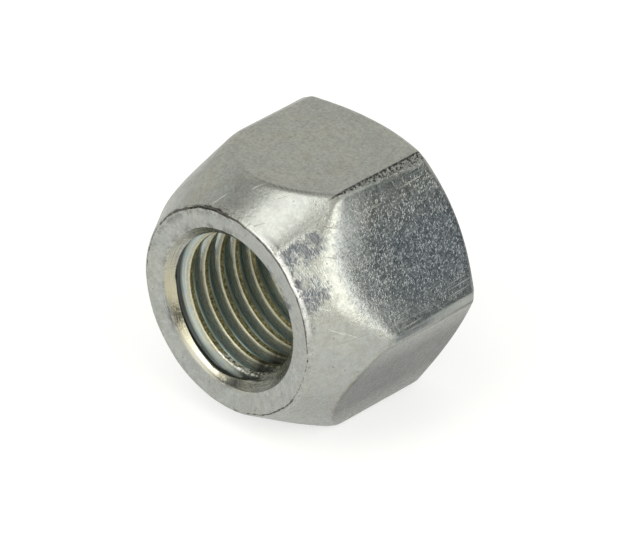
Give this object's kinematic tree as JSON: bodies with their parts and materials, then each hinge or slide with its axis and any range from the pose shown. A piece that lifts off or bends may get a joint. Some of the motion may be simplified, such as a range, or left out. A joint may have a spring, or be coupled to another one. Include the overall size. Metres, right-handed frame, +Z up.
{
  "type": "hexagon wheel lug nut",
  "caption": "Short zinc-plated hexagon wheel nut with a conical seat, open at both ends, that clamps a road wheel onto its threaded stud.",
  "frame": {"origin": "on the thread axis, halfway between the small end face and the large end face", "axes": "+Y along the thread axis from the small end with the seat to the large end, +Z up, out of the flat opposite the one that the nut lies on, +X out of a corner of the hexagon"},
  "size_m": [0.0214, 0.0146, 0.019],
  "materials": {
    "zinc_plated_steel": "satin zinc plating on cold-formed steel"
  },
  "bodies": {
    "root": {"lug_nut": "zinc_plated_steel"}
  },
  "joints": []
}
